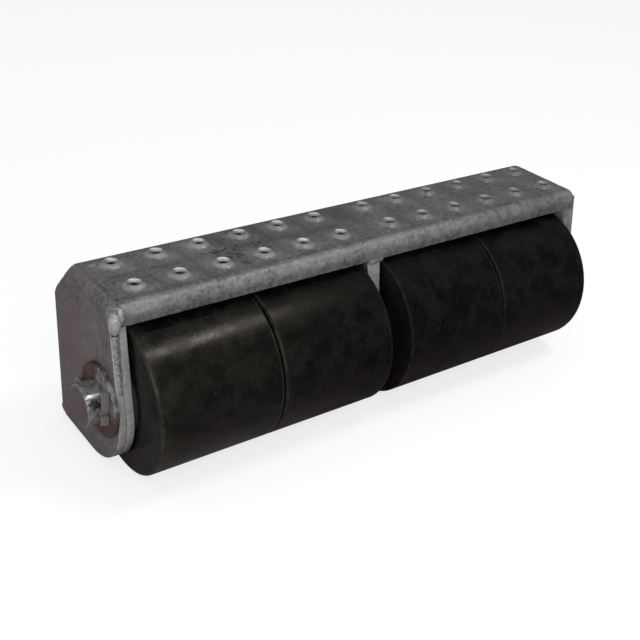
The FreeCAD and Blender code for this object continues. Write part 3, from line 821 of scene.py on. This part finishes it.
def platePart(notched, xLow, xHigh):
    # Rings between the bore and the outline on both faces, joined by a rounded rim. It also gives the share
    # of the front rim, which gets a painted highlight, and of the upper part of the last face, which is the
    # side towards the rollers and gets painted light.
    outline = refined(np.vstack(roundedStops(plateCorners(notched), 16)), plate["step"])
    ahead = np.roll(outline, -1, axis=0) - outline
    along = unit(unit(ahead) + unit(np.roll(ahead, 1, axis=0)))
    area = np.sum(outline[:, 0] * np.roll(outline[:, 1], -1) - outline[:, 1] * np.roll(outline[:, 0], -1))
    inward = np.column_stack([-along[:, 1], along[:, 0]]) * math.copysign(1, area)
    bore = [axleY, axleZ] + unit(outline - [axleY, axleZ]) * (axleRadius + plate["boreClearance"])
    edge = plate["edge"]
    turn = np.linspace(0, np.pi / 2, 5)
    inset = np.concatenate([edge * (1 - np.sin(turn)), edge * (1 - np.sin(turn[::-1]))])
    x = np.concatenate([[xLow], xLow + edge * (1 - np.cos(turn)),
                        xHigh - edge * (1 - np.cos(turn[::-1])), [xHigh]])
    rings = np.concatenate([bore[None], outline[None] + inset[:, None, None] * inward[None], bore[None]])
    points = np.concatenate([np.broadcast_to(x[:, None, None], rings.shape[:2] + (1,)), rings], axis=-1)
    part = points.reshape(-1, 3) * mm, gridFaces(len(rings), len(outline), closeRows=True, closeColumns=True)
    onRim = np.sin(np.linspace(0, np.pi, len(rings)))[:, None] > 0.5
    facesFront = np.clip(inward[:, 0], 0, 1) ** 4 * rise(outline[:, 1], *plate["pale"])
    onLastFace = np.arange(len(rings))[:, None] >= len(rings) - 3
    lit = onLastFace * rise(outline[:, 1], *plate["lit"])[None, :]
    return part, onRim * facesFront[None, :], lit


for kind, notched in (("outer", False), ("inner", True)):
    low, high = (corner.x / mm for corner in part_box("left_" + kind + "_end_plate"))
    part, frontRim, lit = platePart(notched, low, high)
    rightTint = np.maximum(frontRim * plate["rightPale"], lit * plate["litShare"] * notched)
    name = kind + "_end_plate"
    title = kind.capitalize() + "Plate"
    makePiece("left" + title, part, plateZinc, "frame", ["left_" + name], tint=frontRim)
    makePiece("right" + title, mirroredX(part, endShift), plateZinc, "frame",
              ["right_" + name], tint=rightTint)
low, high = (corner.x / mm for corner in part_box("centre_rib"))
part, frontRim, _ = platePart(True, low, high)
makePiece("centreRib", part, plateZinc, "frame", ["centre_rib"], tint=frontRim)
print("plates and rib built")


# weld beads, in millimetres; the tints are how bright each kind of weld is. The root's first point lies
# rootIn behind it and rootUp over the plate's line. Ripples bow back by bow and wander with the lumps, and
# the swelling carries the toe out by a share of its height, up to toeLimit
weld = {"toeInset": 0.5, "ledge": 8.0, "crown": 0.9, "over": 0.08, "dip": 0.12, "steps": 14,
        "stationStep": 0.7, "lumpSize": 11.0, "lumpWidth": 14.0, "sink": 0.06, "roundness": 2.3,
        "rootIn": 1.0, "rootUp": -0.2, "lapDown": 0.8, "bow": 1.6, "wander": 2.0,
        "toeShare": 0.5, "toeLimit": 0.45, "endGap": 0.4, "lipGap": 0.2, "beadTint": 0.08, "ribTint": 0.4}
leftRun = {"ripple": 3.9, "rippleHeight": 0.07, "lump": 0.30, "seed": 7, "lap": 4.5}
rightRun = {"ripple": 4.3, "rippleHeight": 0.03, "lump": 0.10, "seed": 8, "lap": 3.0}
frontBead = {"x": -220.2, "start": -4.65, "length": 47.0, "step": 0.6, "stand": 0.9, "radius": (3.2, 1.7),
             "sides": 20, "bumpSize": 2.6, "bump": 0.204, "tint": 0.50, "flecks": 0.75, "fleckSize": 1.7,
             "shade": 0.8, "shadeFrom": 60.6, "shadeTo": 61.4}
# each drop: centre and reach; x is counted from the middle of the buffer
dropShape = {"rows": 24, "columns": 36, "fullness": 0.8, "lumpSize": 0.7}
leftDrops = [
    {"centre": (-218.9, -98.4, 76.0), "reach": (6.4, 6.2, 6.4), "seed": 3, "tint": 0.25},
    {"centre": (-221.2, -103.2, 70.9), "reach": (4.4, 4.8, 8.2), "seed": 5, "tint": 0.9},
    {"centre": (-216.9, -102.9, 75.6), "reach": (2.6, 3.2, 6.5), "seed": 9, "tint": 0.85},
    {"centre": (-221.0, -8.5, -51.5), "reach": (3.0, 6.5, 4.4), "seed": 13, "tint": 0.1},
    {"centre": (-221.2, -14.5, -54.2), "reach": (2.6, 4.0, 2.2), "seed": 15, "tint": 0.1},
]
ribDrops = [
    {"centre": (-1.0, -101.0, 66.4), "reach": (7.0, 3.4, 3.4), "seed": 31},
    {"centre": (4.2, -100.8, 67.4), "reach": (5.2, 3.2, 4.0), "seed": 33},
]


def dropPart(drop, roughness):
    # a drop of weld: a full ball stretched to its reach on each axis, with soft lumps
    rows, columns = dropShape["rows"], dropShape["columns"]
    polar = np.linspace(0, np.pi, rows)[:, None]
    circle = np.linspace(0, 2 * np.pi, columns, endpoint=False)[None, :]
    width = np.sin(polar) ** dropShape["fullness"]
    ball = np.stack([width * np.cos(circle), width * np.sin(circle), np.cos(polar) + 0 * circle], axis=-1)
    ball = ball.reshape(-1, 3)
    swell = 1 + roughness * (lumps(ball, dropShape["lumpSize"], drop["seed"]) - 1)
    points = np.asarray(drop["centre"]) + ball * swell[:, None] * np.asarray(drop["reach"])
    return points, gridFaces(rows, columns, closeColumns=True)


def endBead(reach, run, downLip):
    # A fillet over the sheet's end: its section rises from the plate's face and runs out level on the
    # sheet's top, height = thickness x (1 - (1 - t) to the power of the roundness). It is carried along the
    # sheet's inner line, with ripples every few millimetres and slower lumps.
    thick = sheet["thickness"]
    inner = sheet["bend"] - thick
    frontY, innerTop = sheetFront + thick, stepTop - thick
    corners = innerBends(inner) + [(-thick, sheetBottom + weld["endGap"], 0)]
    if downLip:
        corners = [(frontY, lipEdge + weld["lipGap"], 0), (frontY, innerTop, inner)] + corners
    else:
        corners = [(frontY, innerTop, 0)] + corners
    line = np.vstack(roundedStops(corners, 10))
    runs = distances(line)
    station = np.unique(np.concatenate([runs, np.arange(0, runs[-1], weld["stationStep"])]))
    path = pointsAlong(line, runs, station)
    along = unit(np.gradient(path, axis=0))
    outward = np.column_stack([-along[:, 1], along[:, 0]])
    root, toe = weld["ledge"] - reach, weld["toeInset"] - reach
    lap = root + run["lap"]
    t = np.linspace(0, 1, weld["steps"])
    bulge = weld["crown"] * np.sin(np.pi * t) * (1 - t)
    sectionX = toe + (lap - toe) * t - bulge
    sectionHeight = (thick + weld["over"]) * (1 - (1 - t) ** weld["roundness"]) + bulge - weld["sink"] * t
    sectionHeight[-1] -= weld["dip"]
    sectionX = np.concatenate([[root + weld["rootIn"]], sectionX, [lap]])
    sectionHeight = np.concatenate([[weld["rootUp"]], sectionHeight, [thick - weld["lapDown"]]])
    share = np.concatenate([[0], np.sin(np.pi * np.clip(t, 0.02, 0.98)) * (1 - 0.6 * t), [0]])
    grid = np.stack(np.broadcast_arrays(station[:, None], weld["lumpWidth"] * share[None, :]), axis=-1)
    slow = lumps(grid, weld["lumpSize"], run["seed"])
    turns = 2 * np.pi * (station[:, None] - weld["bow"] * share) / run["ripple"]
    ripple = np.sin(turns + weld["wander"] * slow) * run["rippleHeight"]
    swell = ripple + run["lump"] * (slow - 0.3)
    height = sectionHeight + share * swell
    x = np.maximum(sectionX - weld["toeShare"] * share * swell, toe - weld["toeLimit"])
    y = np.minimum(path[:, :1] + outward[:, :1] * height, 0)
    z = path[:, 1:] + outward[:, 1:] * height
    return cappedTube(np.stack([x, y, z], axis=-1))


def frontBeadPart():
    # a bumpy bead down the outer plate's leaning front edge, thinning downwards
    top = lipEdge + frontBead["start"]
    z = np.arange(top, top - frontBead["length"], -frontBead["step"])
    y = frontEdge - frontLean * (lipEdge - z) + frontBead["stand"]
    path = np.column_stack([np.full(len(z), frontBead["x"]), y, z])
    points, faces = tube(path, np.linspace(*frontBead["radius"], len(z)), frontBead["sides"])
    rings = points.reshape(-1, frontBead["sides"], 3)
    middle = rings.mean(axis=1, keepdims=True)
    bumps = lumps(points, frontBead["bumpSize"], 21).reshape(rings.shape[:2] + (1,))
    return (middle + (rings - middle) * (1 + frontBead["bump"] * (bumps - 0.5))).reshape(-1, 3), faces


def frontBeadTint(points):
    # bright flecks all over, and a shade at the top, below the drop
    flecks = frontBead["tint"] + frontBead["flecks"] * lumps(points, frontBead["fleckSize"], 23)
    shaded = rise(points[:, 2], frontBead["shadeFrom"], frontBead["shadeTo"])
    return (1 - shaded) * flecks - frontBead["shade"] * shaded


beads = [endBead(leftReach, leftRun, False), frontBeadPart()] + [dropPart(drop, 0.03) for drop in leftDrops]
tints = [np.full(len(bead[0]), share)
         for bead, share in zip(beads, [weld["beadTint"], 0.0] + [drop["tint"] for drop in leftDrops])]
tints[1] = frontBeadTint(beads[1][0])
points, faces = joined(beads)
makePiece("leftEndWeld", (points * mm, faces), weldZinc, "frame", ["left_end_weld"], 60,
          np.concatenate(tints))
points, faces = endBead(rightReach, rightRun, True)
makePiece("rightEndWeld", mirroredX((points * mm, faces)), stepZinc, "frame",
          ["right_end_weld"], 60)
points, faces = joined([dropPart(drop, 0.08) for drop in ribDrops])
makePiece("ribWeldBead", (points * mm, faces), weldZinc, "frame", ["rib_weld"], 60,
          np.full(len(points), weld["ribTint"]))
print("welds built")


# rollers and washers, in millimetres; ease is the rounding of the outer rims
roller = {"ease": 1.8, "sides": 128, "bushClearance": 0.05}
washer = {"ease": 0.9, "sides": 64, "boreClearance": 0.4}
# where the lines of such a ring lie and its tints begin, as multiples of its ease
ringLines = {"bore": 0.3, "treadEnd": 1.05, "treadBand": 1.6, "faceEdge": 1.4, "rimDepth": 0.9,
             "rimWidth": 1.1, "faceTint": 1.2}


def ringPart(low, high, boreRadius, shape):
    # A ring turned about the axle that fills its box outside the bore, with rounded outer rims. Its tint is
    # 1 on the rims and -1 on the end faces and in the bore; the rubber shows it as a painted highlight on the
    # rims and painted shade or light on the end faces.
    outerRadius, ease = (high.z - low.z) / 2, shape["ease"]
    small, end, band, inward, deep, wide, tinted = (ease * value for value in ringLines.values())
    left, right = low.x, high.x
    turn = np.linspace(0, np.pi / 2, 5)
    leftRim = np.column_stack([left + ease - ease * np.cos(turn), outerRadius - ease + ease * np.sin(turn)])
    rightRim = np.column_stack([right - ease + ease * np.sin(turn), outerRadius - ease + ease * np.cos(turn)])
    tread = [(x, outerRadius) for x in (left + end, left + band, right - band, right - end)]
    bore = [(right, boreRadius + small), (right - small, boreRadius), (left + small, boreRadius),
            (left, boreRadius + small)]
    inRim = outerRadius - inward
    profile = np.vstack([leftRim, tread, rightRim, [(right, inRim)], bore, [(left, inRim)]])
    points, faces = turned(profile, (axleY, axleZ), shape["sides"])
    nearEnd = np.minimum(profile[:, 0] - left, right - profile[:, 0]) < wide
    onRim = (profile[:, 1] > outerRadius - deep) & nearEnd
    onFace = profile[:, 1] < outerRadius - tinted
    return (points * mm, faces), np.repeat(onRim * 1.0 - onFace * 1.0, shape["sides"])


bushRadius = (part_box("roller_bush_1")[1].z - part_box("roller_bush_1")[0].z) / 2 / mm
for number in range(1, 5):
    low, high = (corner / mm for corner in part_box("rubber_roller_%d" % number))
    part, tint = ringPart(low, high, bushRadius + roller["bushClearance"], roller)
    makePiece("rubberRoller%d" % number, part, blackRubber, "roller_%d" % number,
              ["rubber_roller_%d" % number], tint=tint)
print("rollers built")


# the axle's bar, in millimetres: sawn ends with an eased rim, and a zinc skin that is a little lumpy
bar = {"ease": 1.6, "skin": 0.06, "skinSize": 6.0, "endSize": 9.0, "sides": 64, "shown": 18.0,
       "smoothFrom": 13.0, "faceRings": (0.0, 0.35, 0.7)}


def axlePart():
    # The bar from its left end face to its right one; only what shows outside the plates is lumpy. Its tint
    # is 1 on the end faces.
    low, high = axleLow.x / mm, axleHigh.x / mm
    ease, radius = bar["ease"], axleRadius
    turn = np.linspace(0, np.pi / 2, 5)
    rim = np.column_stack([ease - ease * np.cos(turn), radius - ease + ease * np.sin(turn)])
    face = [(0, share * radius) for share in bar["faceRings"]]
    length = np.linspace(ease, bar["shown"], 16)[1:]
    end = np.vstack([face, rim, np.column_stack([length, np.full(len(length), radius)])])
    profile = np.vstack([end + [low, 0], end[::-1] * [-1, 1] + [high, 0]])
    points, faces = turned(profile, (axleY, axleZ), bar["sides"], closed=False)
    arm = (points - [0, axleY, axleZ]) * [0, 1, 1]
    distance = np.linalg.norm(arm, axis=1, keepdims=True)
    depth = np.minimum(points[:, 0] - low, high - points[:, 0])
    outside = depth[:, None] < bar["smoothFrom"]
    sink = bar["skin"] * (1 - lumps(points, bar["skinSize"], 51))[:, None] * outside
    points -= arm / np.maximum(distance, 0.001) * sink * (distance > 0.5 * radius)
    onEnd = depth < 0.1
    points[:, 0] -= np.sign(points[:, 0]) * bar["skin"] * (1 - lumps(points, bar["endSize"], 53)) * onEnd
    return (points * mm, faces), onEnd.astype(float)


part, tint = axlePart()
makePiece("axleBar", part, barZinc, "frame", ["axle"], tint=tint)
washerLow, washerHigh = (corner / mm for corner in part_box("left_axle_washer"))
part, _ = ringPart(washerLow, washerHigh, axleRadius + washer["boreClearance"], washer)
makePiece("leftAxleWasher", part, washerPrimer, "frame", ["left_axle_washer"])
makePiece("rightAxleWasher", mirroredX(part, endShift), washerPrimer, "frame",
          ["right_axle_washer"])


# split pins, in millimetres: two half-round legs that leave the bar in front and bend apart, and an eye
# behind; run is where a leg's straight part has its sections, as shares of its length, and tip is how wide
# the last three of them still are
pin = {"diameter": 6.0, "bend": 5.0, "upperLeg": 14.5, "lowerLeg": 2.0, "lowerTurn": 10.0, "eyeRadius": 5.0,
       "eyeWire": 3.0, "washerGap": 0.4, "standOff": 2.5, "shankSteps": 12, "sides": 24, "eyeSteps": 40,
       "eyeSides": 12, "run": (0.15, 0.4, 0.7, 0.93, 0.98, 1.0), "tip": (0.93, 0.7, 0.3), "flatWidth": 0.93,
       "flatDepth": (0.25, 0.3)}


def pinLeg(pinX, direction, length):
    # the half-round section bends from -Y to the direction round a hinge beside the bar, then runs straight
    direction = np.array(direction, float)
    forward = np.array([0.0, -1.0, 0.0])
    start = np.array([pinX, axleY - axleRadius, axleZ])
    turn = np.linspace(0, np.pi / 2, 9)[:, None]
    curve = start + pin["bend"] * (forward * np.sin(turn) + direction * (1 - np.cos(turn)))
    straight = curve[-1] + direction * np.array(pin["run"])[:, None] * length
    path = np.vstack([start - forward, curve, straight])
    tangent = np.vstack([forward, forward * np.cos(turn) + direction * np.sin(turn),
                         np.repeat(direction[None], len(straight), 0)])
    hinge = np.cross(direction, [0, 1, 0])
    side = np.cross(hinge, tangent)
    side *= np.sign((side[1] @ direction) or 1)
    half = np.linspace(0, np.pi, 13)
    radius = pin["diameter"] / 2
    flatEdge = radius * pin["flatWidth"]
    shallow, deep = pin["flatDepth"]
    section = np.vstack([np.column_stack([np.cos(half), np.sin(half)]) * radius,
                         [[-flatEdge, -shallow], [0, -deep], [flatEdge, -shallow]]])
    size = np.concatenate([np.ones(len(path) - len(pin["tip"])), pin["tip"]])
    return cappedTube(path[:, None] + size[:, None, None] * (
        section[None, :, :1] * hinge[None, None] + section[None, :, 1:] * side[:, None]))


def pinPart():
    # the straight shank through the bar, the ring of the eye behind it and the two legs
    pinX = washerLow.x - pin["washerGap"] - pin["diameter"] / 2
    heel = axleY + axleRadius + pin["standOff"]
    shankY = np.linspace(axleY - axleRadius + 0.5, heel, pin["shankSteps"])
    shankLine = np.column_stack([0 * shankY + pinX, shankY, 0 * shankY + axleZ])
    shank = tube(shankLine, pin["diameter"] / 2, pin["sides"])
    angle = np.linspace(0, 2 * np.pi, pin["eyeSteps"], endpoint=False)[:, None]
    wireAngle = np.linspace(0, 2 * np.pi, pin["eyeSides"], endpoint=False)[None, :]
    reach = pin["eyeRadius"] + pin["eyeWire"] / 2 * np.cos(wireAngle)
    eye = np.stack([pinX + pin["eyeWire"] / 2 * np.sin(wireAngle) + 0 * angle,
                    heel + pin["eyeRadius"] + reach * np.cos(angle), axleZ + reach * np.sin(angle)], axis=-1)
    lean = math.radians(pin["lowerTurn"])
    points, faces = joined([
        shank, (eye, gridFaces(*eye.shape[:2], closeRows=True, closeColumns=True)),
        pinLeg(pinX, (0, 0, 1), pin["upperLeg"]),
        pinLeg(pinX, (-math.sin(lean), 0, -math.cos(lean)), pin["lowerLeg"])])
    return points * mm, faces


part = pinPart()
makePiece("leftSplitPin", part, pinGrey, "frame", ["left_split_pin"])
makePiece("rightSplitPin", mirroredX(part, endShift), pinGrey, "frame", ["right_split_pin"])
print("axle, washers and pins built")

for name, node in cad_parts.items():
    if name.startswith("roller_bush"):
        node.data.materials.clear()
        node.data.materials.append(bushSteel)
    elif name.startswith("thrust_washer"):
        node.data.materials.clear()
        node.data.materials.append(greyNylon)


# the studio: the camera in millimetres, degrees and pixels, the rest in metres
camera = {"place": (-463.6, -638.5, 411.5), "azimuth": -37.65, "elevation": 29.61, "roll": 4.41,
          "focal": 1008.84, "frame": 640, "sensor": 36.0}
studio = {"world": 0.42, "floorTone": 0.45, "floorWhite": 0.72, "floorRough": 0.9, "floorGap": 0.0002,
          "floorReach": 20, "aim": (0, -0.08, 0.02)}
# each lamp: its place, its power, its length and width, and the way of its length
lamps = {
    "keyLamp": {"place": (0.50, -0.43, 1.37), "power": 3.9, "size": (0.50, 0.03), "along": (0.7, 0.7, 0)},
    "frontLamp": {"place": (-0.35, -1.35, 0.75), "power": 5.0, "size": (1.0, 1.0), "along": (1, 0, 0)},
    "sideLamp": {"place": (-1.3, -0.75, 0.35), "power": 4.6, "size": (0.9, 0.9), "along": (0, 1, 0)},
}


def turnedTo(across, upward, backward, place):
    # the matrix of a camera or a lamp whose own axes point these ways
    return Matrix.Translation(place) @ Matrix((across, upward, backward)).transposed().to_4x4()


def makeCamera():
    # the photo's view: the camera looks forward by its azimuth and elevation, and is rolled about that line
    azimuth, elevation, roll = (math.radians(camera[key]) for key in ("azimuth", "elevation", "roll"))
    forward = Vector((-math.sin(azimuth) * math.cos(elevation), math.cos(azimuth) * math.cos(elevation),
                      -math.sin(elevation)))
    right = forward.cross(Vector((0, 0, 1))).normalized()
    up = right.cross(forward)
    lens = bpy.data.cameras.new("photoCamera")
    lens.sensor_width = camera["sensor"]
    lens.lens = camera["focal"] / camera["frame"] * camera["sensor"]
    lens.clip_start = 0.01
    view = addObject("photoCamera", lens)
    across = math.cos(roll) * right + math.sin(roll) * up
    upward = math.cos(roll) * up - math.sin(roll) * right
    view.matrix_world = turnedTo(across, upward, -forward, Vector(camera["place"]) * mm)
    bpy.context.scene.camera = view


def makeLamp(name, look):
    # a flat soft box that looks at the middle of the buffer
    lamp = bpy.data.lights.new(name, "AREA")
    lamp.energy = look["power"]
    lamp.shape = "RECTANGLE"
    lamp.size, lamp.size_y = look["size"]
    holder = addObject(name, lamp)
    backward = (Vector(look["place"]) - Vector(studio["aim"])).normalized()
    across = backward.cross(Vector(look["along"])).normalized()
    holder.matrix_world = turnedTo(across.cross(backward), across, backward, look["place"])


def makeFloor():
    # a pale floor that the camera sees as white and that keeps the shadow
    level, reach = cadBox[0].z - studio["floorGap"], studio["floorReach"]
    mesh = bpy.data.meshes.new("floor")
    corners = [(x * reach, y * reach, level) for x, y in ((-1, -1), (1, -1), (1, 1), (-1, 1))]
    mesh.from_pydata(corners, [], [(0, 1, 2, 3)])
    floor = addObject("floor", mesh)
    material, tree, shader, _ = startMaterial("paleFloor", 0.0, 0.0)
    shader.inputs["Base Color"].default_value = grey(studio["floorTone"])
    shader.inputs["Roughness"].default_value = studio["floorRough"]
    shader.inputs["Emission Color"].default_value = grey(1)
    seen = addNode(tree, "LightPath").outputs["Is Camera Ray"]
    tree.links.new(product(tree, seen, studio["floorWhite"]), shader.inputs["Emission Strength"])
    mesh.materials.append(material)


def makeWorld():
    # an even pale sky, which the camera sees as white
    world = bpy.data.worlds.new("softWhite")
    bpy.context.scene.world = world
    world.use_nodes = True
    tree = world.node_tree
    background = tree.nodes["Background"]
    background.inputs["Color"].default_value = grey(1)
    path = addNode(tree, "LightPath")
    seen = calculate(tree, "MAXIMUM", path.outputs["Is Camera Ray"], path.outputs["Is Transmission Ray"])
    tree.links.new(ramp(tree, seen, (0.0, 1.0), (studio["world"], 1.0)), background.inputs["Strength"])


makeCamera()
for name, look in lamps.items():
    makeLamp(name, look)
makeFloor()
makeWorld()
bpy.context.scene.view_settings.view_transform = "Standard"
print("studio built")
